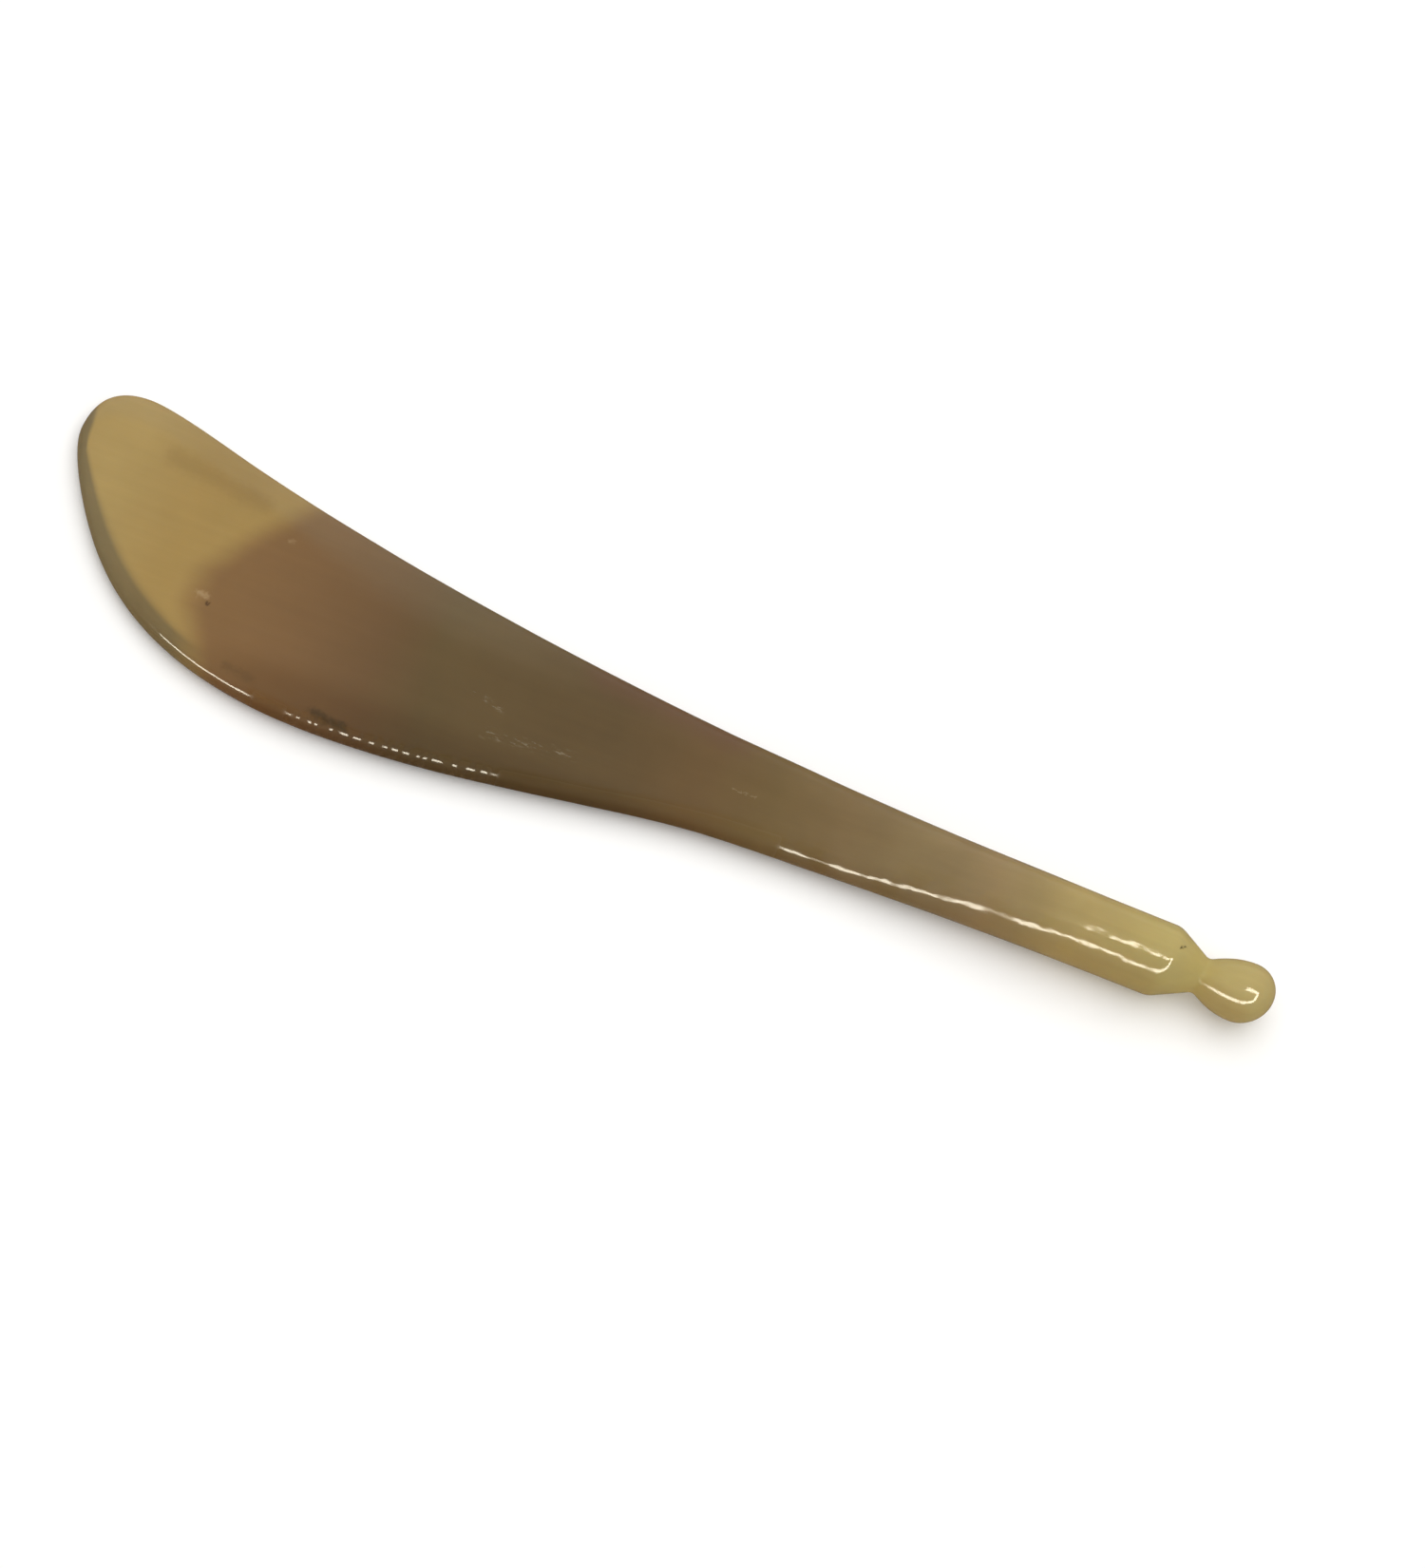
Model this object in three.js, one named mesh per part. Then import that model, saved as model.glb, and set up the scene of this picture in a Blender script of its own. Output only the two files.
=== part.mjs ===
// A gua sha scraper carved and polished from one length of horn.
// One end is a broad, thin blade with a straight edge, a belly edge and an upturned round tip.
// The handle turns from flat to round, and ends in a cone, a waist and a small ball.
// Millimetres. +X runs from the blade's tip to the ball, +Y towards the straight edge, +Z up.
// The part lies on its flat back at z = 0, and the origin is under the middle of its outline.
import * as THREE from "three";

// Lengths along X. The four zones meet face to face at these planes.
const LENGTH = 170;
const TIP_X = -LENGTH / 2;
const BLADE_END_X = 8;
const GRIP_END_X = 68;
const WAIST_X = 75;
const BALL_END_X = LENGTH / 2;

// The round end of the handle, the cone, the waist and the ball are turned about one line.
const GRIP_R = 5;
const WAIST_R = 2.5;
const BALL_R = 4.1;
const AXIS_Y = -4.73;
const AXIS_Z = GRIP_R;

// Profile of the turned end, as [radius, x].
const SHOULDER_START = [GRIP_R, 69.2];
const SHOULDER_CORNER = [GRIP_R, 69.95];
const CONE_START = [4.55, 70.8];
const CONE_END = [2.62, 74.5];
const FLARE_START = [2.62, 75.5];
const FLARE_CONTROL = [3.35, 76.9];
const BALL_CONTROL = [BALL_R, 78.6];

// Thickness: a slim wedge along the blade, then a swell up to the round handle.
const TIP_THICKNESS = 3.4;
const WEDGE_PER_MM = 0.025;
const SWELL_START_X = 20;
const SWELL_END_X = 60;

// Roundness of the two long edges.
const BELLY_EDGE_R = 1.9;
const STRAIGHT_EDGE_R = 1.1;

// The back of the blade is dressed flat by this depth, which fades out along the handle.
const DRESSING = 0.15;
const DRESSING_FADE_START_X = 0;
const DRESSING_FADE_END_X = 30;

// The two edges seen from above, as cubic curves end to end: a start, then two controls and an end
// for each curve. Y is counted from the line that the handle's end is turned about.
const TIP = [TIP_X, 15];
const STRAIGHT_ROOT = [BLADE_END_X, 8.2];
const BELLY_ROOT = [BLADE_END_X, -6.3];
const STRAIGHT_EDGE = [
  TIP,
  [TIP_X, 20], [-82.6, 22.5], [-78, 22.5],
  [-74.4, 22.5], [-66, 19.9], [-61, 18.7],
  [-38, 13.1], [-12, 9.85], STRAIGHT_ROOT,
];
const BELLY_EDGE = [
  TIP,
  [TIP_X, 11.5], [-80.6, 4.7], [-78, 1.3],
  [-71, -8], [-60, -13.05], [-44, -13.05],
  [-25, -13.05], [-7, -7.8], BELLY_ROOT,
];
const STRAIGHT_SIDE = [STRAIGHT_ROOT, [38, 6.3], [43, GRIP_R], [GRIP_END_X, GRIP_R]];
const BELLY_SIDE = [BELLY_ROOT, [20, -5.4], [45, -GRIP_R], [GRIP_END_X, -GRIP_R]];

// Fineness of the solids.
const SIDES = 40;
const BLADE_STEPS = 40;
const GRIP_STEPS = 16;
const TURNED_STEPS = 8;

// Cubic curves joined end to end.
function curveThrough(points) {
  const path = new THREE.Path();
  path.moveTo(...points[0]);
  for (let i = 1; i < points.length; i += 3) {
    path.bezierCurveTo(...points[i], ...points[i + 1], ...points[i + 2]);
  }
  return path;
}

// Full thickness of the part at x.
function thickness(x) {
  const wedge = TIP_THICKNESS + WEDGE_PER_MM * (x - TIP_X);
  const swell = THREE.MathUtils.smoothstep(x, SWELL_START_X, SWELL_END_X);
  return wedge + (2 * GRIP_R - wedge) * swell;
}

// One cross-section: a rounded slab on the line between the two edges, |u/a|^n + (w/b)^2 = 1.
// The exponent n that gives an edge the radius r at its end is 2 a r / b^2, and 2 is an ellipse.
// rounding, from 0 to 1, thins the slab where the section is close to the tip.
function section(straight, belly, rounding = 1) {
  const middle = straight.clone().add(belly).multiplyScalar(0.5);
  const reach = straight.clone().sub(middle);
  const fade = THREE.MathUtils.smoothstep(middle.x, DRESSING_FADE_START_X, DRESSING_FADE_END_X);
  const dressing = DRESSING * (1 - fade);
  const half = (thickness(middle.x) + dressing) / 2;
  const exponent = (radius) => Math.max(2, (2 * reach.length() * radius) / half ** 2);
  const ring = [];
  for (let i = 0; i < SIDES; i++) {
    const angle = (2 * Math.PI * i) / SIDES;
    const across = Math.cos(angle);
    const n = exponent(across > 0 ? STRAIGHT_EDGE_R : BELLY_EDGE_R);
    const share = Math.sign(across) * Math.abs(across) ** (2 / n);
    const plan = middle.clone().addScaledVector(reach, share);
    const height = half - dressing + half * rounding * Math.sin(angle);
    ring.push(new THREE.Vector3(plan.x, plan.y + AXIS_Y, Math.max(0, height)));
  }
  return ring;
}

// A closed skin over a row of rings that all have the same number of points.
// Each end is closed by a fan to a point: the tip of the part, or the middle of the end face.
function skin(rings, startPoint, endPoint) {
  const points = [startPoint, ...rings.flat(), endPoint];
  const last = points.length - 1;
  const at = (row, i) => 1 + row * SIDES + (i % SIDES);
  const triangles = [];
  for (let i = 0; i < SIDES; i++) {
    triangles.push(0, at(0, i + 1), at(0, i));
    triangles.push(last, at(rings.length - 1, i), at(rings.length - 1, i + 1));
    for (let row = 0; row < rings.length - 1; row++) {
      triangles.push(at(row, i), at(row, i + 1), at(row + 1, i + 1));
      triangles.push(at(row, i), at(row + 1, i + 1), at(row + 1, i));
    }
  }
  const geometry = new THREE.BufferGeometry().setFromPoints(points);
  geometry.setIndex(triangles);
  return geometry;
}

// The middle of a flat end face.
function faceCentre(ring) {
  const sum = new THREE.Vector3();
  ring.forEach((point) => sum.add(point));
  return sum.divideScalar(ring.length);
}

// The blade: sections on lines between the two edges, close together where the tip rounds over.
function bladeGeometry() {
  const straight = curveThrough(STRAIGHT_EDGE);
  const belly = curveThrough(BELLY_EDGE);
  const tip = new THREE.Vector2(...TIP);
  const rings = [];
  for (let step = 1; step <= BLADE_STEPS; step++) {
    const share = (step / BLADE_STEPS) ** 2;
    const a = straight.getPointAt(share);
    const b = belly.getPointAt(share);
    const fromTip = a.clone().add(b).multiplyScalar(0.5).distanceTo(tip);
    const inward = Math.min(1, fromTip / BELLY_EDGE_R);
    rings.push(section(a, b, Math.sqrt(1 - (1 - inward) ** 2)));
  }
  const tipPoint = new THREE.Vector3(tip.x, tip.y + AXIS_Y, thickness(TIP_X) / 2);
  return skin(rings, tipPoint, faceCentre(rings.at(-1)));
}

// The handle: a flattened oval at the blade that becomes a true circle at the cone.
function gripGeometry() {
  const straight = curveThrough(STRAIGHT_SIDE);
  const belly = curveThrough(BELLY_SIDE);
  const rings = [];
  for (let step = 0; step <= GRIP_STEPS; step++) {
    const share = step / GRIP_STEPS;
    rings.push(section(straight.getPoint(share), belly.getPoint(share)));
  }
  return skin(rings, faceCentre(rings[0]), faceCentre(rings.at(-1)));
}

// A solid turned about the handle's axis, from a path of (radius, x) points.
function turned(path) {
  const geometry = new THREE.LatheGeometry(path.getPoints(TURNED_STEPS), SIDES);
  geometry.rotateZ(-Math.PI / 2);
  geometry.translate(0, AXIS_Y, AXIS_Z);
  return geometry;
}

// The rounded shoulder, the cone and half of the waist.
function coneGeometry() {
  const path = new THREE.Path();
  path.moveTo(0, GRIP_END_X);
  path.lineTo(GRIP_R, GRIP_END_X);
  path.lineTo(...SHOULDER_START);
  path.quadraticCurveTo(...SHOULDER_CORNER, ...CONE_START);
  path.lineTo(...CONE_END);
  path.quadraticCurveTo(WAIST_R, (CONE_END[1] + WAIST_X) / 2, WAIST_R, WAIST_X);
  path.lineTo(0, WAIST_X);
  return turned(path);
}

// The other half of the waist, the flare and the ball.
function ballGeometry() {
  const centre = BALL_END_X - BALL_R;
  const path = new THREE.Path();
  path.moveTo(0, WAIST_X);
  path.lineTo(WAIST_R, WAIST_X);
  path.quadraticCurveTo(WAIST_R, (WAIST_X + FLARE_START[1]) / 2, ...FLARE_START);
  path.bezierCurveTo(...FLARE_CONTROL, ...BALL_CONTROL, BALL_R, centre);
  path.absarc(0, centre, BALL_R, 0, Math.PI / 2, false);
  return turned(path);
}

// A mesh with its own polished horn material.
function piece(name, geometry, color, roughness) {
  geometry.computeVertexNormals();
  const material = new THREE.MeshStandardMaterial({ color, roughness, metalness: 0 });
  const mesh = new THREE.Mesh(geometry, material);
  mesh.name = name;
  return mesh;
}

const group = new THREE.Group();
group.add(piece("scraping_blade", bladeGeometry(), 0x9a7a4c, 0.22));
group.add(piece("grip", gripGeometry(), 0x86693f, 0.2));
group.add(piece("neck_cone", coneGeometry(), 0xb4985e, 0.2));
group.add(piece("ball_tip", ballGeometry(), 0xb69b60, 0.18));

export default group;
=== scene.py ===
# A gua sha scraper carved from one length of horn, as one seamless polished skin over its CAD zones.
# Metres, in the CAD frame: +X from the blade's tip to the ball, +Y towards the straight edge, +Z up.
import math

import bpy
import numpy as np
from mathutils import Matrix, Vector, noise


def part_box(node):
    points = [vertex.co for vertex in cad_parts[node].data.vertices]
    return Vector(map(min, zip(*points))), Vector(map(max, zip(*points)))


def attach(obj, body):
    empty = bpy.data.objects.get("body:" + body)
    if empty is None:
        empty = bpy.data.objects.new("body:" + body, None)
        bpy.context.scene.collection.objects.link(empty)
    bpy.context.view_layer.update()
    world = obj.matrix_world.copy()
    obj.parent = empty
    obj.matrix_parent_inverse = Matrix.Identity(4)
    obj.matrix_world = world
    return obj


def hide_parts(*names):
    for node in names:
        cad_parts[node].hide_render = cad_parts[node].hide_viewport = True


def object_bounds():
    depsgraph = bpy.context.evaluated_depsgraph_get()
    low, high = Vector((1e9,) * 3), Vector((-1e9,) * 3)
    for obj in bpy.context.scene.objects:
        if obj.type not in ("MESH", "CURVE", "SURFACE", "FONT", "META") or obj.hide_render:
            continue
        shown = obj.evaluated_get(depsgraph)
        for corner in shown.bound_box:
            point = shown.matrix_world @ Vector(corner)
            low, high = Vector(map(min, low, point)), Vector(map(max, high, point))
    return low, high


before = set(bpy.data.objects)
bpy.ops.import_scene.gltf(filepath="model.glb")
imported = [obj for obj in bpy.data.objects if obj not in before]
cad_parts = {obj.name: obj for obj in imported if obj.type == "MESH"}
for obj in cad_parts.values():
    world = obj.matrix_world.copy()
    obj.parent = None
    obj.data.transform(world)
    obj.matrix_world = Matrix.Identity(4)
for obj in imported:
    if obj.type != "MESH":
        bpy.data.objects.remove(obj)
cad_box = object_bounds()

MM = 0.001

# ---------------------------------------------------------------- sizes that the frame gives
blade_lo, blade_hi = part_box("scraping_blade")
grip_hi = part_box("grip")[1]
cone_lo, cone_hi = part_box("neck_cone")
ball_lo, ball_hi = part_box("ball_tip")

TIP_X = blade_lo.x
BLADE_END_X = blade_hi.x
GRIP_END_X = grip_hi.x
WAIST_X = cone_hi.x
BALL_END_X = ball_hi.x
GRIP_R = (cone_hi.z - cone_lo.z) / 2
BALL_R = (ball_hi.z - ball_lo.z) / 2
AXIS_Y = (ball_lo.y + ball_hi.y) / 2
AXIS_Z = (ball_lo.z + ball_hi.z) / 2

# ---------------------------------------------------------------- the rest of the design, in mm
WAIST_R_MM = 2.5
TIP_THICKNESS_MM = 3.4
WEDGE_PER_MM = 0.025
SWELL_MM = (20, 60)
BELLY_EDGE_R_MM = 1.9
BELLY_EDGE_R_AT_TIP_MM = 1.2
TIP_ZONE_MM = (-74, -58)
STRAIGHT_EDGE_R_MM = 1.1
DRESSING_MM = 0.15
DRESSING_FADE_MM = (0, 30)

# Cubic curves end to end, as (x, y) in mm with y counted from the handle's axis.
TIP_MM = (TIP_X / MM, 15)
GRIP_END_MM = GRIP_END_X / MM
GRIP_R_MM = GRIP_R / MM
STRAIGHT_ROOT = (BLADE_END_X / MM, 8.2)
BELLY_ROOT = (BLADE_END_X / MM, -6.3)
STRAIGHT_EDGE = [
    TIP_MM,
    (TIP_MM[0], 20), (-82.6, 22.5), (-78, 22.5),
    (-74.4, 22.5), (-66, 19.9), (-61, 18.7),
    (-38, 13.1), (-12, 9.85), STRAIGHT_ROOT,
]
BELLY_EDGE = [
    TIP_MM,
    (TIP_MM[0], 11.5), (-80.6, 4.7), (-78, 1.3),
    (-71, -8), (-60, -13.05), (-44, -13.05),
    (-25, -13.05), (-7, -7.8), BELLY_ROOT,
]
STRAIGHT_SIDE = [STRAIGHT_ROOT, (38, 6.3), (43, GRIP_R_MM), (GRIP_END_MM, GRIP_R_MM)]
BELLY_SIDE = [BELLY_ROOT, (20, -5.4), (45, -GRIP_R_MM), (GRIP_END_MM, -GRIP_R_MM)]

# Profile of the turned end, as (x, radius) in mm.
WAIST_MM = WAIST_X / MM
BALL_R_MM = BALL_R / MM
BALL_CENTRE_MM = BALL_END_X / MM - BALL_R_MM
SHOULDER = [(69.2, GRIP_R_MM), (69.95, GRIP_R_MM), (70.8, 4.55)]
CONE_END = (74.5, 2.62)
WAIST_IN = [CONE_END, ((CONE_END[0] + WAIST_MM) / 2, WAIST_R_MM), (WAIST_MM, WAIST_R_MM)]
FLARE_START = (75.5, 2.62)
WAIST_OUT = [(WAIST_MM, WAIST_R_MM), ((WAIST_MM + FLARE_START[0]) / 2, WAIST_R_MM), FLARE_START]
FLARE = [FLARE_START, (76.9, 3.35), (78.6, BALL_R_MM), (BALL_CENTRE_MM, BALL_R_MM)]

# ---------------------------------------------------------------- fineness and hand finish
HALF_SIDES = 48
BLADE_ROWS = 190
GRIP_ROWS = 130
CURVE_SAMPLES = 160
SECTION_SAMPLES = 400
TURN_WEIGHT = 0.8

# Points on each stretch of the turned end's profile.
RIM_POINTS = 4
SHOULDER_POINTS = 12
CONE_POINTS = 12
WAIST_POINTS = 7
FLARE_POINTS = 20
DOME_POINTS = 28

# The face thins towards the straight edge, over this width and along this stretch of the blade.
EDGE_THINNING = 0.2
EDGE_WIDTH_MM = 5.0
EDGE_WIDENING = (4.0, (-62, -40))
EDGE_FADE_MM = (-45, 5)

# The shoulder, waist and ball were cut a little aslant: x shifts by this much for each mm of y.
SLANT = 0.11
SLANT_START_MM = (65, 69.5)

# Waves left by scraping and polishing by hand, as (length, depth) in mm.
HAND_WAVES = [(9.0, 0.05), (3.2, 0.02)]
SMOOTHER_FROM_MM = (68, 74)
SMOOTHER_SHARE = 0.25


def smoothstep(value, low, high):
    t = np.clip((value - low) / (high - low), 0, 1)
    return t * t * (3 - 2 * t)


def bezier(points, samples=CURVE_SAMPLES):
    """Points along one Bezier curve of any degree."""
    t = np.linspace(0, 1, samples)[:, None]
    row = [np.array(p, float) * np.ones_like(t) for p in points]
    while len(row) > 1:
        row = [a * (1 - t) + b * t for a, b in zip(row, row[1:])]
    return row[0]


def chain(points):
    """Cubic curves joined end to end, as one fine polyline."""
    runs = [bezier(points[i:i + 4]) for i in range(0, len(points) - 1, 3)]
    return np.vstack([runs[0]] + [run[1:] for run in runs[1:]])


def along(line, shares):
    """Points at these shares of a polyline's length."""
    steps = np.linalg.norm(np.diff(line, axis=0), axis=1)
    length = np.concatenate([[0], np.cumsum(steps)])
    return np.stack([np.interp(shares * length[-1], length, axis) for axis in line.T], -1)


def thickness(x):
    """Full thickness in mm at x in mm."""
    wedge = TIP_THICKNESS_MM + WEDGE_PER_MM * (x - TIP_MM[0])
    return wedge + (2 * GRIP_R_MM - wedge) * smoothstep(x, *SWELL_MM)


def spread(line, count):
    """count points on a polyline, from its start up to but without its end, close where it turns."""
    step = np.diff(line, axis=0)
    length = np.linalg.norm(step, axis=1)
    heading = np.unwrap(np.arctan2(step[:, 2], np.hypot(step[:, 0], step[:, 1])))
    turn = np.abs(np.diff(heading, prepend=heading[0]))
    weight = length / length.sum() + TURN_WEIGHT * turn / max(turn.sum(), 1e-9)
    place = np.concatenate([[0], np.cumsum(weight)])
    wanted = np.linspace(0, place[-1], count, endpoint=False)
    return np.stack([np.interp(wanted, place, axis) for axis in line.T], -1)


# ---------------------------------------------------------------- the skin, in mm until the last step
def slab_section(straight, belly, rounding=1.0):
    """A rounded slab between the two edges, as in the CAD, with its points spread round it."""
    middle, reach = (straight + belly) / 2, (straight - belly) / 2
    dressing = DRESSING_MM * (1 - smoothstep(middle[0], *DRESSING_FADE_MM))
    half = (thickness(middle[0]) + dressing) / 2
    angle = np.linspace(0, 2 * math.pi, 2 * SECTION_SAMPLES + 1)
    across = np.cos(angle)
    into_body = smoothstep(middle[0], *TIP_ZONE_MM)
    belly_r = BELLY_EDGE_R_AT_TIP_MM + (BELLY_EDGE_R_MM - BELLY_EDGE_R_AT_TIP_MM) * into_body
    radius = np.where(across > 0, STRAIGHT_EDGE_R_MM, belly_r)
    exponent = np.maximum(2, 2 * np.hypot(*reach) * radius / half**2)
    share = np.sign(across) * np.abs(across) ** (2 / exponent)
    plan = middle + share[:, None] * reach
    from_edge = (1 - share) * np.hypot(*reach)
    width = EDGE_WIDTH_MM + EDGE_WIDENING[0] * smoothstep(middle[0], *EDGE_WIDENING[1])
    thinning = EDGE_THINNING * (1 - smoothstep(middle[0], *EDGE_FADE_MM))
    thinning = thinning * (1 - smoothstep(from_edge, 0, width)) * (angle < math.pi)
    height = np.maximum(0, half - dressing + half * rounding * (1 - thinning) * np.sin(angle))
    ring = np.column_stack([plan[:, 0], plan[:, 1] + AXIS_Y / MM, height])
    over, under = ring[:SECTION_SAMPLES + 1], ring[SECTION_SAMPLES:]
    return np.vstack([spread(over, HALF_SIDES), spread(under, HALF_SIDES)])


def blade_rings():
    """Sections on lines between the two edges, close together where the tip rounds over."""
    shares = (np.arange(1, BLADE_ROWS + 1) / BLADE_ROWS) ** 2
    pairs = zip(along(chain(STRAIGHT_EDGE), shares), along(chain(BELLY_EDGE), shares))
    rings = []
    for straight, belly in pairs:
        from_tip = np.hypot(*((straight + belly) / 2 - np.array(TIP_MM)))
        inward = min(1.0, from_tip / BELLY_EDGE_R_MM)
        rings.append(slab_section(straight, belly, math.sqrt(1 - (1 - inward) ** 2)))
    return rings


def grip_rings():
    """The flattened oval at the blade's root, up to the full circle at the shoulder."""
    shares = np.arange(1, GRIP_ROWS + 1) / GRIP_ROWS
    pairs = zip(along(chain(STRAIGHT_SIDE), shares), along(chain(BELLY_SIDE), shares))
    return [slab_section(straight, belly) for straight, belly in pairs]


def turned_profile():
    """(x, radius) from the shoulder to just before the ball's far end."""
    rim = bezier([(GRIP_END_MM, GRIP_R_MM), SHOULDER[0]], RIM_POINTS)
    shoulder = bezier(SHOULDER, SHOULDER_POINTS)
    cone = bezier([SHOULDER[-1], CONE_END], CONE_POINTS)
    waist = np.vstack([bezier(WAIST_IN, WAIST_POINTS), bezier(WAIST_OUT, WAIST_POINTS)[1:]])
    flare = bezier(FLARE, FLARE_POINTS)
    turn = np.linspace(0, math.pi / 2, DOME_POINTS)[1:-1]
    dome = np.column_stack([np.sin(turn), np.cos(turn)]) * BALL_R_MM + (BALL_CENTRE_MM, 0)
    return np.vstack([rim[1:], shoulder[1:], cone[1:], waist[1:], flare[1:], dome])


def turned_rings():
    angle = np.linspace(0, 2 * math.pi, 2 * HALF_SIDES, endpoint=False)
    circle = np.column_stack([0 * angle, np.cos(angle), np.sin(angle)])
    centre = np.array([0, AXIS_Y / MM, AXIS_Z / MM])
    return [circle * radius + centre + (x, 0, 0) for x, radius in turned_profile()]


def loft(rings, start, end):
    """Vertices and faces of one closed skin over the rings, with a pole at each end."""
    sides = len(rings[0])
    vertices = np.vstack([[start]] + rings + [[end]])
    last = len(vertices) - 1
    faces = []
    for i in range(sides):
        j = (i + 1) % sides
        faces.append((0, 1 + j, 1 + i))
        faces.append((last, last - sides + i, last - sides + j))
        for row in range(len(rings) - 1):
            a, b = 1 + row * sides, 1 + (row + 1) * sides
            faces.append((a + i, a + j, b + j, b + i))
    return vertices, faces


def slant(vertices):
    """Shears the end of the handle along X, as a neck that was cut by eye."""
    amount = SLANT * smoothstep(vertices[:, 0], *SLANT_START_MM)
    vertices[:, 0] += amount * (vertices[:, 1] - AXIS_Y / MM)
    return vertices


def hand_finish(mesh):
    """Lowers the skin here and there by hundredths of a mm, and keeps it inside the CAD's box."""
    places = np.empty(3 * len(mesh.vertices))
    normals = np.empty_like(places)
    mesh.vertices.foreach_get("co", places)
    mesh.vertices.foreach_get("normal", normals)
    places, normals = places.reshape(-1, 3), normals.reshape(-1, 3)
    depth = np.zeros(len(places))
    for length, most in HAND_WAVES:
        waves = [noise.noise(Vector(place / (length * MM))) for place in places]
        depth += most * MM * (1 - np.array(waves)) / 2
    on_neck = smoothstep(places[:, 0] / MM, *SMOOTHER_FROM_MM)
    depth *= 1 - (1 - SMOOTHER_SHARE) * on_neck
    places -= normals * depth[:, None]
    places = np.clip(places, cad_box[0], cad_box[1])
    mesh.vertices.foreach_set("co", places.ravel())
    mesh.update()


def horn_body():
    tip = (TIP_MM[0], TIP_MM[1] + AXIS_Y / MM, thickness(TIP_MM[0]) / 2)
    ball_end = (BALL_END_X / MM, AXIS_Y / MM, AXIS_Z / MM)
    rings = blade_rings() + grip_rings() + turned_rings()
    vertices, faces = loft(rings, tip, ball_end)
    mesh = bpy.data.meshes.new("horn_scraper")
    mesh.from_pydata((slant(vertices) * MM).tolist(), [], faces)
    mesh.validate()
    mesh.shade_smooth()
    hand_finish(mesh)
    body = bpy.data.objects.new("horn_scraper", mesh)
    bpy.context.scene.collection.objects.link(body)
    return body


# ---------------------------------------------------------------- shader nodes
RAGGED_MM = 0.7


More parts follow.
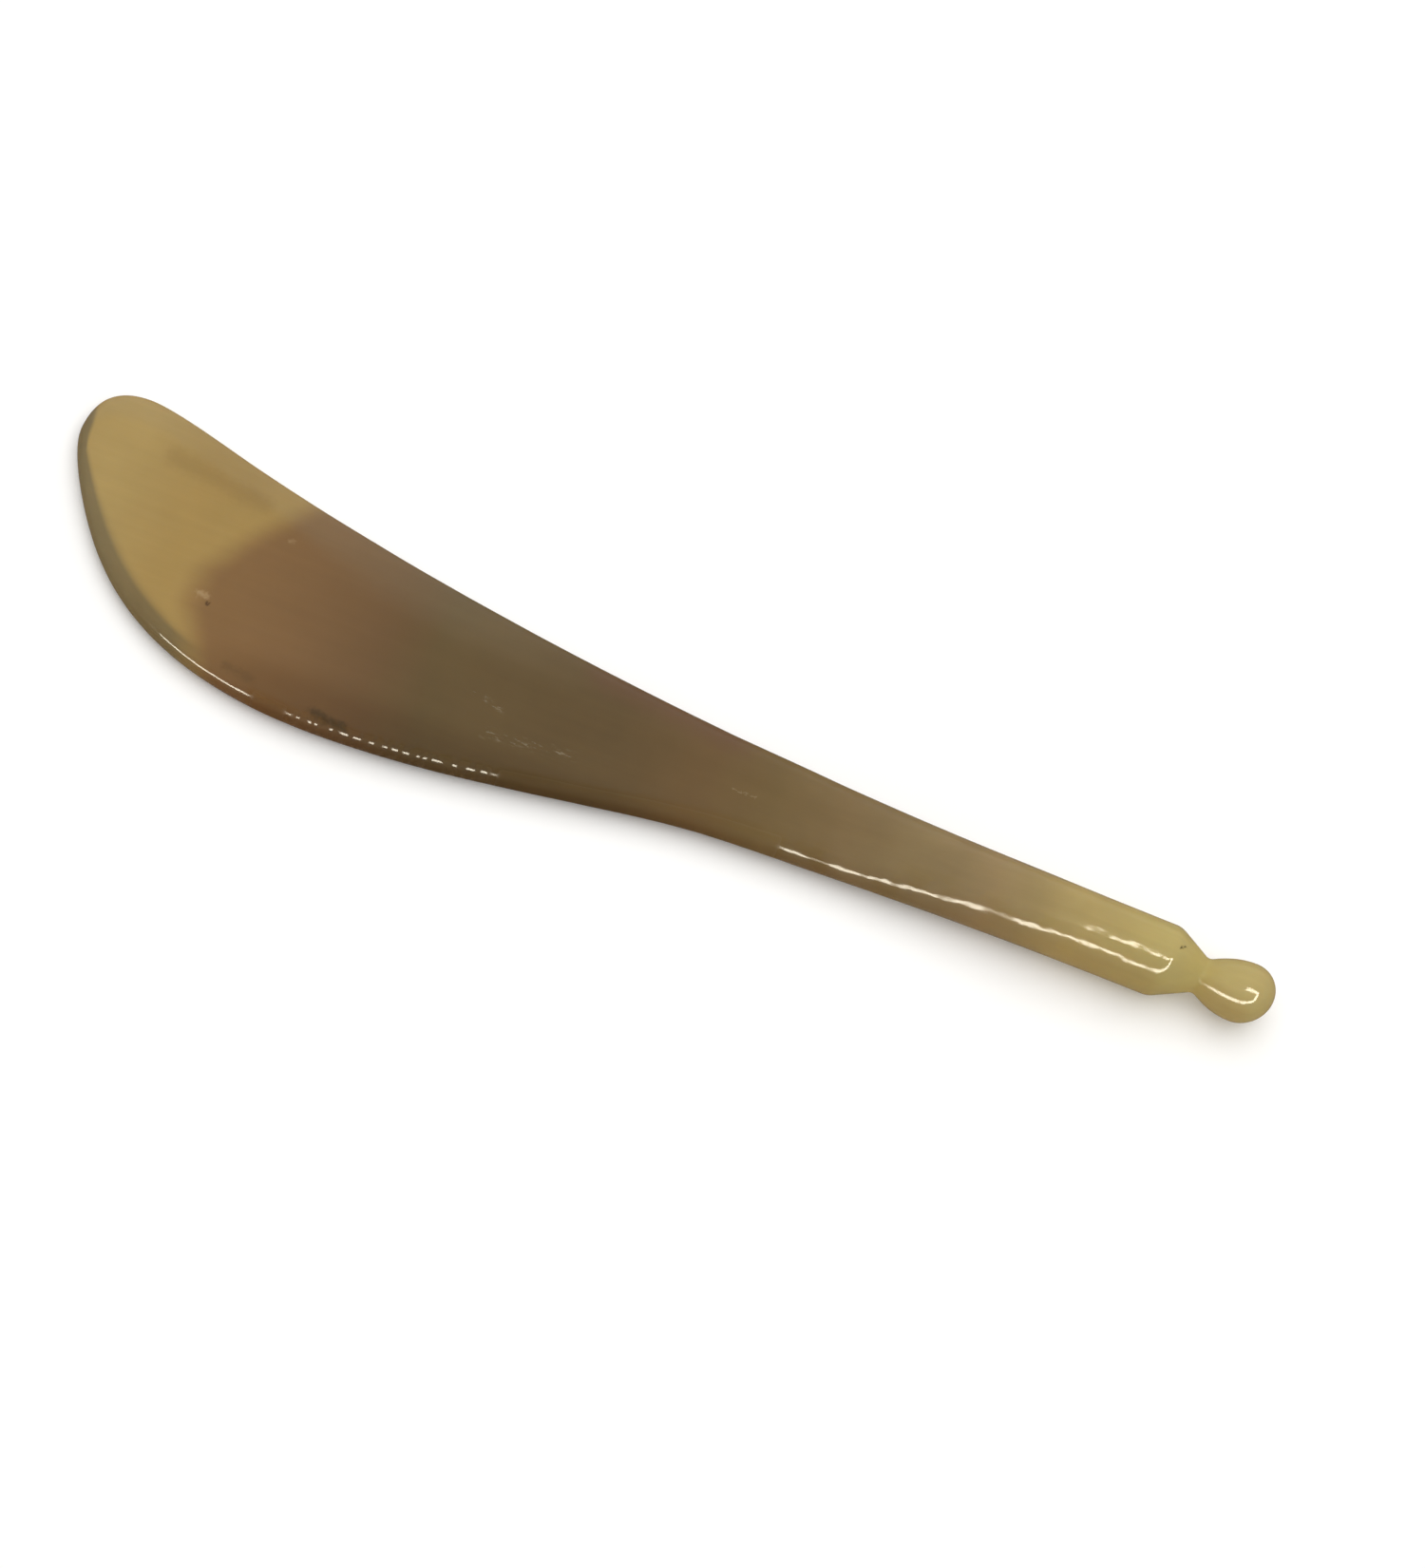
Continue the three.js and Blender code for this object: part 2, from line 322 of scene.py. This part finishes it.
class Graph:
    """Short ways to add the nodes that the materials share."""

    def __init__(self, name):
        self.material = bpy.data.materials.new(name)
        self.material.use_nodes = True
        self.tree = self.material.node_tree
        self.shader = self.tree.nodes["Principled BSDF"]
        place = self.add("ShaderNodeTexCoord").outputs["Object"]
        self.mm = self.vector("SCALE", place, scale=1 / MM)
        self.x, self.y, self.z = self.split(self.mm)
        self.above_axis = self.math("SUBTRACT", self.y, AXIS_Y / MM)
        self.ragged = self.ragged_plan()

    def add(self, kind, **settings):
        node = self.tree.nodes.new(kind)
        for name, value in settings.items():
            setattr(node, name, value)
        return node

    def put(self, socket, value):
        if isinstance(value, bpy.types.NodeSocket):
            self.tree.links.new(value, socket)
        else:
            socket.default_value = value

    def split(self, vector):
        node = self.add("ShaderNodeSeparateXYZ")
        self.put(node.inputs[0], vector)
        return node.outputs

    def join(self, x, y, z):
        node = self.add("ShaderNodeCombineXYZ")
        for socket, value in zip(node.inputs, (x, y, z)):
            self.put(socket, value)
        return node.outputs[0]

    def vector(self, operation, a, b=None, scale=None):
        node = self.add("ShaderNodeVectorMath", operation=operation)
        self.put(node.inputs[0], a)
        if b is not None:
            self.put(node.inputs[1], b)
        if scale is not None:
            self.put(node.inputs["Scale"], scale)
        single = operation in ("LENGTH", "DOT_PRODUCT")
        return node.outputs["Value" if single else "Vector"]

    def math(self, operation, a, b=0.0, c=0.0):
        node = self.add("ShaderNodeMath", operation=operation)
        for socket, value in zip(node.inputs, (a, b, c)):
            self.put(socket, value)
        return node.outputs[0]

    def fade(self, value, low, high, start=0.0, end=1.0):
        """start below low, end above high, and smooth between."""
        node = self.add("ShaderNodeMapRange", interpolation_type="SMOOTHSTEP")
        for socket, given in zip(node.inputs, (value, low, high, start, end)):
            self.put(socket, given)
        return node.outputs[0]

    def blend(self, share, a, b):
        """a where share is 0 and b where it is 1, for numbers."""
        return self.math("MULTIPLY_ADD", share, self.math("SUBTRACT", b, a), a)

    def noise(self, size_mm, detail=2.0, roughness=0.5, output="Fac"):
        """Noise from 0 to 1 with features of about size_mm, along each axis if it is a triple."""
        sizes = size_mm if isinstance(size_mm, tuple) else (size_mm,) * 3
        stretched = self.vector("DIVIDE", self.mm, sizes)
        node = self.add("ShaderNodeTexNoise")
        self.put(node.inputs["Vector"], stretched)
        self.put(node.inputs["Scale"], 1.0)
        self.put(node.inputs["Detail"], detail)
        self.put(node.inputs["Roughness"], roughness)
        return node.outputs[output]

    def ragged_plan(self):
        """x and y from the axis, in mm, shifted a little here and there so that marks are irregular."""
        plan = self.join(self.x, self.above_axis, 0.0)
        shifts = self.vector("SUBTRACT", self.noise(RAGGED_MM, 2.0, output="Color"), (0.5, 0.5, 0.5))
        return self.vector("ADD", plan, self.vector("SCALE", shifts, scale=2 * RAGGED_MM))

    def mark(self, start, end, half_width):
        """1 on a short line seen from above, fading to 0 at its half width."""
        run = Vector((end[0] - start[0], end[1] - start[1], 0.0))
        from_start = self.vector("SUBTRACT", self.ragged, (*start, 0.0))
        share = self.vector("DOT_PRODUCT", from_start, run / run.length_squared)
        share = self.math("MINIMUM", self.math("MAXIMUM", share, 0.0), 1.0)
        nearest = self.vector("SCALE", run, scale=share)
        away = self.vector("LENGTH", self.vector("SUBTRACT", from_start, nearest))
        return self.fade(away, 0.0, half_width, 1.0, 0.0)

    def mix(self, share, a, b, blend="MIX"):
        node = self.add("ShaderNodeMix", data_type="RGBA", blend_type=blend)
        self.put(node.inputs["Factor"], share)
        self.put(node.inputs[6], a)
        self.put(node.inputs[7], b)
        return node.outputs[2]

    def ramp(self, value, stops):
        """A colour ramp with stops as (place, colour)."""
        node = self.add("ShaderNodeValToRGB")
        self.put(node.inputs[0], value)
        elements = node.color_ramp.elements
        while len(elements) < len(stops):
            elements.new(1.0)
        for element, (place, colour) in zip(elements, stops):
            element.position = place
            element.color = colour
        return node.outputs[0]


def rgb(code):
    """A linear colour from a display colour such as a8905c."""
    parts = [int(code[i:i + 2], 16) / 255 for i in (0, 2, 4)]
    return [((c + 0.055) / 1.055) ** 2.4 for c in parts] + [1.0]


# ---------------------------------------------------------------- horn
# Colour along the stick, as (x in mm, display colour): a smoky body that turns blond at the ball.
# Its smoky middle is partly the horn's own tone and partly painted shade.
BODY_AND_SHADE_STOPS = [
    (-60, "83623a"), (-49, "7a5b37"), (-39, "6c5131"), (-31, "614e2d"), (-7, "604c2c"),
    (6, "69512f"), (16, "6e5934"), (26, "7a6440"), (36, "826e49"), (45, "947d55"),
    (51, "9a8556"), (57, "b09a60"), (70, "b3a163"), (82, "b8a468"),
]
LENGTH_MM = (BALL_END_X - TIP_X) / MM

# The blond tip ends in a soft front between these x, where the body's painted shade starts.
# The front runs back towards the handle above and below these heights, by so many mm for each mm.
TIP_BLOND = "a2854b"
TIP_BLOND_FAR = "a98f56"
BLOND_TURN_MM = (-80.0, -66.0)
TIP_FRONT_MM = (-65.7, -60.4)
FRONT_ABOVE_MM, FRONT_SLOPE = 2.0, 0.68
FRONT_BELOW_MM, FRONT_HOOK = -3.5, 0.6
FRONT_DRIFT = 0.6

# Clouds and fibres: their sizes in mm, and how much they lighten and darken the horn.
CLOUD_MM, CLOUD_TONE, CLOUD_DRIFT_MM = 11.0, 0.3, 6.0
FIBRE_MM, FIBRE_TONE = (40.0, 1.1, 1.1), 0.12

# The direction seen from above in which the belly edge faces, and how far the skin has to face it
# for the painted shade on the rim, at the tip and on the body.
BELLY_DIRECTION = (-0.5, -0.87)
RIM_SHADE_REACH_AT_TIP = (0.05, 0.24)
RIM_SHADE_REACH_IN_BODY = (0.35, 0.85)
TIP_TO_BODY_MM = (-64.0, -55.0)
BODY_TO_GRIP_MM = (10.0, 40.0)

# Painted shade: what the belly rim's colour is multiplied by.
RIM_SHADE_AT_TIP = (0.53, 0.57, 0.74)
RIM_SHADE_AT_BODY = (0.92, 0.86, 0.82)
RIM_SHADE_AT_GRIP = (0.93, 0.87, 0.84)

# Painted shade: what the body's colour is multiplied by low down in the belly, and where in mm.
LOW_BODY_SHADE = (0.80, 0.75, 0.65)
SHADE_LOW_BELOW_MM = (-9.5, -4.5)
SHADE_LOW_FROM_MM, SHADE_LOW_UP_TO_MM = (-64.0, -48.0), (5.0, 15.0)

# A painted sheen: the body is a little greyer where it faces the straight edge.
STRAIGHT_EDGE_SHEEN, STRAIGHT_EDGE_SHEEN_SHARE = "8d8168", 0.16
STRAIGHT_EDGE_SHEEN_UP_TO_MM = (-35.0, -5.0)

# Small marks on the face, two of them painted light: start, end and half width in mm, with y
# counted from the axis, then display colour and strength.
MARKS = {
    # A painted reflection of something ruddy, on the polish by the straight edge.
    "painted ruddy reflection": ((-10, 9.0), (8, 7.4), 4.5, "684833", 0.5),
    # Painted shade along the crease where the face turns into the straight edge's bevel.
    "painted crease shade": ((-72, 15.3), (-59.5, 13.6), 2.4, "7c6238", 0.3),
    "stain": ((-55.6, -9.6), (-52.0, -10.1), 1.0, "5a4224", 0.4),
    "smudge": ((-43.2, -11.2), (-39.0, -11.7), 1.0, "33280f", 0.6),
    "chip": ((-62.6, -1.5), (-61.4, -1.6), 0.7, "b59a70", 0.5),
    "dot by the chip": ((-60.9, -2.4), (-60.7, -2.5), 0.4, "3f2c18", 0.8),
    "light dot": ((-54.3, 10.1), (-54.1, 10.1), 0.6, "a58a62", 0.4),
    "scratch": ((9.9, -0.2), (13.0, -0.2), 0.25, "a3906c", 0.4),
    "pore": ((70.5, 0.45), (71.1, 0.85), 0.35, "3a2c12", 0.9),
}

# Scuffs, as start, end and half width.
SCUFFS = [((-22, -5.3), (-10.7, -4.2), 1.3), ((-25, -0.7), (-21.6, -1.7), 1.0)]
SCUFF_COLOUR, SCUFF_SHARE = "a39577", 0.2
SCUFF_GRAIN_MM = (1.6, 0.4, 0.4)
SCUFF_ROUGHNESS = 0.25
SCUFF_DEPTH_MM = 0.03

# Where the polish on the belly edge is broken into dots, where it is dull, and where it is patchy,
# in mm along X.
DOTTED_STRETCH, DOT_PITCH, DOT_WOBBLE = (-46, -19), 1.6, 4.2
DULL_STRETCHES = [(-51.5, -46), (-19, 18.5)]
PATCHY_STRETCH, PATCH_MM = (20, 58), 3.0
DULL_NECK = (72, 76)
BELLY_EDGE_REACH = (0.2, 0.4)

# The polish: specular level, how much of it wear takes away, and roughness.
SPECULAR, SPECULAR_LOST = 0.5, 0.44
ROUGHNESS, SMEAR_MM, SMEAR_ROUGHNESS = 0.06, 4.0, 0.1
WORN_ROUGHNESS = 0.55

# Fine relief in mm: ripples on the rounded parts, and scratches along the stick.
RIPPLE_MM, RIPPLE_DEPTH_MM, RIPPLE_DEPTH_ON_NECK_MM = 2.6, 0.16, 0.02
RIPPLE_ON_BLADE, RIPPLE_ON_FLAT = 0.5, 0.12
SCRATCHES_MM, SCRATCH_DEPTH_MM = (6.0, 0.25, 0.25), 0.004


def within(g, stretch):
    """1 on a stretch of the stick, as (from, to) in mm, with soft ends."""
    start, end = stretch
    return g.math("MULTIPLY", g.fade(g.x, start - 1, start + 1), g.fade(g.x, end - 1, end + 1, 1.0, 0.0))


def stick_colour(g, cloud):
    """The smoky body, partly painted shade, blond towards the ball, and the blond tip with its slanted
    soft front where that shade starts.
    """
    drifted = g.math("MULTIPLY_ADD", cloud, CLOUD_DRIFT_MM, -CLOUD_DRIFT_MM / 2)
    along = g.math("ADD", g.math("SUBTRACT", g.x, TIP_MM[0]), drifted)
    stops = [((x - TIP_MM[0]) / LENGTH_MM, rgb(code)) for x, code in BODY_AND_SHADE_STOPS]
    colour = g.ramp(g.math("DIVIDE", along, LENGTH_MM), stops)
    above = g.math("MAXIMUM", g.math("SUBTRACT", g.above_axis, FRONT_ABOVE_MM), 0.0)
    below = g.math("MAXIMUM", g.math("SUBTRACT", FRONT_BELOW_MM, g.above_axis), 0.0)
    front = g.math("MULTIPLY_ADD", below, -FRONT_HOOK, g.x)
    front = g.math("MULTIPLY_ADD", above, -FRONT_SLOPE, front)
    front = g.math("MULTIPLY_ADD", drifted, FRONT_DRIFT, front)
    in_tip = g.fade(front, *TIP_FRONT_MM, 1.0, 0.0)
    blond = g.mix(g.fade(g.x, *BLOND_TURN_MM), rgb(TIP_BLOND_FAR), rgb(TIP_BLOND))
    return g.mix(in_tip, colour, blond)


def painted_belly_shade(g, colour, to_belly):
    """Darkens the low part of the body, and the rim that faces the belly, as painted shade."""
    low = g.math("MULTIPLY", g.fade(g.above_axis, *SHADE_LOW_BELOW_MM, 1.0, 0.0), g.fade(g.x, *SHADE_LOW_FROM_MM))
    low = g.math("MULTIPLY", low, g.fade(g.x, *SHADE_LOW_UP_TO_MM, 1.0, 0.0))
    colour = g.mix(low, colour, g.mix(1.0, colour, (*LOW_BODY_SHADE, 1.0), "MULTIPLY"))
    in_body = g.fade(g.x, *TIP_TO_BODY_MM)
    in_grip = g.fade(g.x, *BODY_TO_GRIP_MM)
    rim = g.blend(in_body, g.fade(to_belly, *RIM_SHADE_REACH_AT_TIP), g.fade(to_belly, *RIM_SHADE_REACH_IN_BODY))
    tint = g.mix(in_body, (*RIM_SHADE_AT_TIP, 1.0), (*RIM_SHADE_AT_BODY, 1.0))
    tint = g.mix(in_grip, tint, (*RIM_SHADE_AT_GRIP, 1.0))
    return g.mix(rim, colour, g.mix(1.0, colour, tint, "MULTIPLY"))


# Painted sheen: greys the body where it faces the straight edge.
def painted_straight_edge_sheen(g, colour, facing):
    near = g.math("MULTIPLY", g.fade(facing[1], 0.0, 0.2), g.fade(g.x, *STRAIGHT_EDGE_SHEEN_UP_TO_MM, 1.0, 0.0))
    return g.mix(g.math("MULTIPLY", near, STRAIGHT_EDGE_SHEEN_SHARE), colour, rgb(STRAIGHT_EDGE_SHEEN))


def clouded(g, colour, cloud):
    """Lightens and darkens the horn in clouds and along its fibres."""
    fibre = g.noise(FIBRE_MM, 4.0, 0.6)
    tone = g.math("MULTIPLY_ADD", g.math("SUBTRACT", cloud, 0.5), CLOUD_TONE, 1.0)
    tone = g.math("MULTIPLY_ADD", g.math("SUBTRACT", fibre, 0.5), FIBRE_TONE, tone)
    return g.mix(1.0, colour, g.join(tone, tone, tone), "MULTIPLY")


def marked(g, colour, up):
    """Adds the small marks, only on the side that faces up; one is a painted reflection and one painted
    shade.
    """
    for start, end, half_width, tint, strength in MARKS.values():
        share = g.math("MULTIPLY", g.math("MULTIPLY", g.mark(start, end, half_width), up), strength)
        colour = g.mix(share, colour, rgb(tint))
    return colour


def scuffs(g, up):
    """1 in the grain of the scuffs, only on the side that faces up."""
    scuffed = 0.0
    for scuff in SCUFFS:
        scuffed = g.math("MAXIMUM", scuffed, g.mark(*scuff))
    scratchy = g.fade(g.noise(SCUFF_GRAIN_MM, 3.0, 0.7), 0.52, 0.66)
    return g.math("MULTIPLY", g.math("MULTIPLY", scuffed, scratchy), up)


def edge_wear(g, on_edge):
    """Where the belly edge has lost its polish: between the dots, and on the dull stretches."""
    wobble = g.math("MULTIPLY_ADD", g.noise(2.5, 1.0), DOT_WOBBLE, g.x)
    wave = g.math("SINE", g.math("MULTIPLY", wobble, 2 * math.pi / DOT_PITCH))
    worn = g.math("MULTIPLY", within(g, DOTTED_STRETCH), g.fade(wave, -0.2, 0.7, 0.96, 0.0))
    for stretch in DULL_STRETCHES:
        worn = g.math("MAXIMUM", worn, within(g, stretch))
    return g.math("MULTIPLY", worn, on_edge)


def shine(g, worn, on_edge):
    """Specular level: less where it is worn, on the neck, and in patches on the handle's edge."""
    patches = g.math("MULTIPLY", g.fade(g.noise(PATCH_MM, 1.0), 0.5, 0.64, 0.0, 0.8), on_edge)
    patches = g.math("MULTIPLY", within(g, PATCHY_STRETCH), patches)
    dim = g.math("MAXIMUM", within(g, DULL_NECK), patches)
    return g.math("MULTIPLY_ADD", g.math("MAXIMUM", worn, dim), -SPECULAR_LOST, SPECULAR)


def roughness(g, worn, scuffed):
    """A little uneven all over, and rougher where the polish is worn or scuffed."""
    smear = g.math("MULTIPLY_ADD", g.noise(SMEAR_MM, 3.0), SMEAR_ROUGHNESS, ROUGHNESS)
    dull = g.math("MULTIPLY", g.math("POWER", worn, 3.0), WORN_ROUGHNESS)
    return g.math("MULTIPLY_ADD", scuffed, SCUFF_ROUGHNESS, g.math("MAXIMUM", smear, dull))


def relief(g, facing, scuffed):
    """Ripples, fine scratches and dents, as a bumped normal."""
    depth = g.fade(g.x, 68.0, 74.0, RIPPLE_DEPTH_MM, RIPPLE_DEPTH_ON_NECK_MM)
    depth = g.math("MULTIPLY", depth, g.fade(g.x, 0.0, 20.0, RIPPLE_ON_BLADE, 1.0))
    depth = g.math("MULTIPLY", depth, g.fade(facing[2], 0.9, 0.99, 1.0, RIPPLE_ON_FLAT))
    ripples = g.math("MULTIPLY", g.noise(RIPPLE_MM, 1.0), depth)
    scratches = g.math("MULTIPLY", g.noise(SCRATCHES_MM, 2.0), SCRATCH_DEPTH_MM)
    dents = g.math("MULTIPLY", scuffed, -SCUFF_DEPTH_MM)
    bump = g.add("ShaderNodeBump")
    g.put(bump.inputs["Height"], g.math("ADD", g.math("ADD", ripples, scratches), dents))
    g.put(bump.inputs["Distance"], MM)
    return bump.outputs[0]


def horn_material():
    g = Graph("horn")
    facing = g.split(g.add("ShaderNodeTexCoord").outputs["Normal"])
    to_belly = g.math("MULTIPLY", facing[1], BELLY_DIRECTION[1])
    to_belly = g.math("MULTIPLY_ADD", facing[0], BELLY_DIRECTION[0], to_belly)
    on_edge = g.fade(to_belly, *BELLY_EDGE_REACH)
    up = g.fade(facing[2], 0.0, 0.4)
    cloud = g.noise(CLOUD_MM, 3.0)
    scuffed = scuffs(g, up)
    worn = edge_wear(g, on_edge)

    colour = stick_colour(g, cloud)
    colour = painted_belly_shade(g, colour, to_belly)
    colour = painted_straight_edge_sheen(g, colour, facing)
    colour = clouded(g, colour, cloud)
    colour = marked(g, colour, up)
    colour = g.mix(g.math("MULTIPLY", scuffed, SCUFF_SHARE), colour, rgb(SCUFF_COLOUR))

    shader = g.shader.inputs
    g.put(shader["Base Color"], colour)
    g.put(shader["Specular IOR Level"], shine(g, worn, on_edge))
    g.put(shader["Roughness"], roughness(g, worn, scuffed))
    g.put(shader["Normal"], relief(g, facing, scuffed))
    shader["IOR"].default_value = 1.5
    shader["Subsurface Weight"].default_value = 0.25
    shader["Subsurface Radius"].default_value = (1.0, 0.5, 0.2)
    shader["Subsurface Scale"].default_value = 2 * MM
    return g.material


# ---------------------------------------------------------------- floor, light and camera
FLOOR_HALF = 1.5
FLOOR_PALE, FLOOR_PALER = "f7f6f4", "fbfaf8"
FLOOR_IN_REFLECTIONS = "6e5a4a"
FLOOR_MOTTLE_MM = 60.0
GLOW_FROM = 0.3
FLOOR_GLOW = 0.08
BACKDROP = 0.95
CAMERA_ELEVATION = math.radians(65)
CAMERA_SWING = math.radians(-3)
CAMERA_ROLL = math.radians(21.7)
CAMERA_DISTANCE = 0.5
FRAME_HEIGHT = 0.2004
AIM_RIGHT = 6.7 * MM
AIM_DOWN = 3.0 * MM
SENSOR = 36.0


def floor_glow(g):
    """A faint glow under the part, stronger far off so that the floor runs into the backdrop."""
    distance = g.vector("LENGTH", g.vector("SCALE", g.mm, scale=MM))
    far = g.fade(distance, GLOW_FROM, FLOOR_HALF, 0.0, BACKDROP)
    seen = g.add("ShaderNodeLightPath").outputs["Is Camera Ray"]
    return g.math("MULTIPLY_ADD", far, seen, FLOOR_GLOW)


def floor():
    mesh = bpy.data.meshes.new("floor")
    corners = [(-1, -1), (1, -1), (1, 1), (-1, 1)]
    mesh.from_pydata([(x * FLOOR_HALF, y * FLOOR_HALF, 0) for x, y in corners], [], [(0, 1, 2, 3)])
    plane = bpy.data.objects.new("floor", mesh)
    bpy.context.scene.collection.objects.link(plane)
    g = Graph("floor")
    mottle = g.fade(g.noise(FLOOR_MOTTLE_MM, 2.0), 0.3, 0.7)
    seen = g.mix(mottle, rgb(FLOOR_PALE), rgb(FLOOR_PALER))
    mirrored = g.add("ShaderNodeLightPath").outputs["Is Glossy Ray"]
    g.put(g.shader.inputs["Base Color"], g.mix(mirrored, seen, rgb(FLOOR_IN_REFLECTIONS)))
    g.shader.inputs["Emission Color"].default_value = rgb("ffffff")
    g.put(g.shader.inputs["Emission Strength"], floor_glow(g))
    g.shader.inputs["Roughness"].default_value = 0.9
    g.shader.inputs["Specular IOR Level"].default_value = 0.2
    plane.data.materials.append(g.material)


def view_axes():
    """Directions from the object to the camera, and the picture's right and up."""
    tilt = math.pi / 2 - CAMERA_ELEVATION
    back = Vector((0, -math.sin(tilt), math.cos(tilt)))
    up = Vector((0, math.cos(tilt), math.sin(tilt)))
    side = Vector((1, 0, 0))
    swung = math.cos(CAMERA_SWING) * back + math.sin(CAMERA_SWING) * side
    side = math.cos(CAMERA_SWING) * side - math.sin(CAMERA_SWING) * back
    right = math.cos(CAMERA_ROLL) * side + math.sin(CAMERA_ROLL) * up
    over = math.cos(CAMERA_ROLL) * up - math.sin(CAMERA_ROLL) * side
    return swung, right, over


def camera():
    back, right, up = view_axes()
    target = Vector((0, AXIS_Y, AXIS_Z)) + AIM_RIGHT * right - AIM_DOWN * up
    data = bpy.data.cameras.new("camera")
    data.sensor_width = SENSOR
    data.lens = SENSOR * CAMERA_DISTANCE / FRAME_HEIGHT
    data.clip_start = 0.01
    eye = bpy.data.objects.new("camera", data)
    turn = Matrix((right, up, back)).transposed().to_4x4()
    eye.matrix_world = Matrix.Translation(target + CAMERA_DISTANCE * back) @ turn
    bpy.context.scene.collection.objects.link(eye)
    bpy.context.scene.camera = eye


# The strips are the bright outline of a window, seen only as thin lines on the polish.
STRIP_DISTANCE = 0.6
STRIP_WIDTH = 0.11
STRIP_RADIANCE = 18.0
STRIP_TINT = (1.0, 0.93, 0.76)
STRIP_END = 0.68
LOW_ELEVATION = 28
HIGH_ELEVATION = 84
END_ELEVATION = 43
STRIPS = [
    ("strip_low", (-0.55, LOW_ELEVATION), (0.143, LOW_ELEVATION)),
    ("strip_low_end", (0.163, LOW_ELEVATION), (STRIP_END, END_ELEVATION)),
    ("strip_high", (0.155, HIGH_ELEVATION), (STRIP_END, HIGH_ELEVATION)),
    ("strip_side", (STRIP_END, END_ELEVATION), (STRIP_END, HIGH_ELEVATION)),
]
SKY_LOW = 0.38
SKY_HIGH = 0.5
SKY_GLOW_FROM = 0.45
SKY_GLOW_TO = 0.95
KEY_ELEVATION = 98
KEY_DISTANCE = 1.0
KEY_SIZE = 1.6
KEY_POWER = 12.0


def away_from_axis(elevation, distance, along=0.0):
    """A place round the handle's axis. Elevation is 0 towards the belly and 90 straight up."""
    e = math.radians(elevation)
    return Vector((along, AXIS_Y - distance * math.cos(e), AXIS_Z + distance * math.sin(e)))


def area_light(name, place, turn, size, energy, tint):
    """A rectangle that shines along its own -Z and that the camera doesn't see."""
    data = bpy.data.lights.new(name, "AREA")
    data.shape = "RECTANGLE"
    data.size, data.size_y = size
    data.energy = energy
    data.color = tint
    light = bpy.data.objects.new(name, data)
    light.location = place
    light.rotation_euler = turn.to_euler()
    light.visible_camera = False
    bpy.context.scene.collection.objects.link(light)
    return light


def strip_light(name, start, end):
    """A strip between two places round the axis, each as (x, elevation), that faces the part."""
    ends = [away_from_axis(elevation, STRIP_DISTANCE, x) for x, elevation in (start, end)]
    middle, run = (ends[0] + ends[1]) / 2, ends[1] - ends[0]
    right = run.normalized()
    back = middle - away_from_axis(0, 0)
    back = (back - back.dot(right) * right).normalized()
    turn = Matrix((right, back.cross(right), back)).transposed()
    energy = math.pi * run.length * STRIP_WIDTH * STRIP_RADIANCE
    light = area_light(name, middle, turn, (run.length, STRIP_WIDTH), energy, STRIP_TINT)
    light.visible_diffuse = False


def sky():
    """Soft light all round, brighter low down on the straight edge's side, and a white backdrop."""
    world = bpy.data.worlds.new("studio")
    world.use_nodes = True
    nodes, links = world.node_tree.nodes, world.node_tree.links
    place = nodes.new("ShaderNodeTexCoord")
    split = nodes.new("ShaderNodeSeparateXYZ")
    glow = nodes.new("ShaderNodeMapRange")
    glow.interpolation_type = "SMOOTHSTEP"
    for socket, value in zip(glow.inputs[1:5], (SKY_GLOW_FROM, SKY_GLOW_TO, SKY_LOW, SKY_HIGH)):
        socket.default_value = value
    links.new(place.outputs["Generated"], split.inputs[0])
    links.new(split.outputs["Y"], glow.inputs[0])
    seen = nodes.new("ShaderNodeLightPath").outputs["Is Camera Ray"]
    backdrop = nodes.new("ShaderNodeMix")
    backdrop.inputs["B"].default_value = BACKDROP
    links.new(seen, backdrop.inputs["Factor"])
    links.new(glow.outputs[0], backdrop.inputs["A"])
    links.new(backdrop.outputs["Result"], nodes["Background"].inputs["Strength"])
    nodes["Background"].inputs["Color"].default_value = (1, 1, 1, 1)
    bpy.context.scene.world = world


def key_light():
    place = away_from_axis(KEY_ELEVATION, KEY_DISTANCE)
    turn = (away_from_axis(0, 0) - place).to_track_quat("-Z", "Y")
    key = area_light("key", place, turn, (KEY_SIZE, KEY_SIZE), KEY_POWER, (1, 1, 1))
    key.visible_glossy = False


def lights():
    """A large soft key, the window's outline in strips, and a pale sky."""
    sky()
    key_light()
    for strip in STRIPS:
        strip_light(*strip)


body = horn_body()
body.data.materials.append(horn_material())
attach(body, "root")
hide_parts("scraping_blade", "grip", "neck_cone", "ball_tip")

floor()
lights()
camera()
bpy.context.scene.view_settings.view_transform = "Standard"
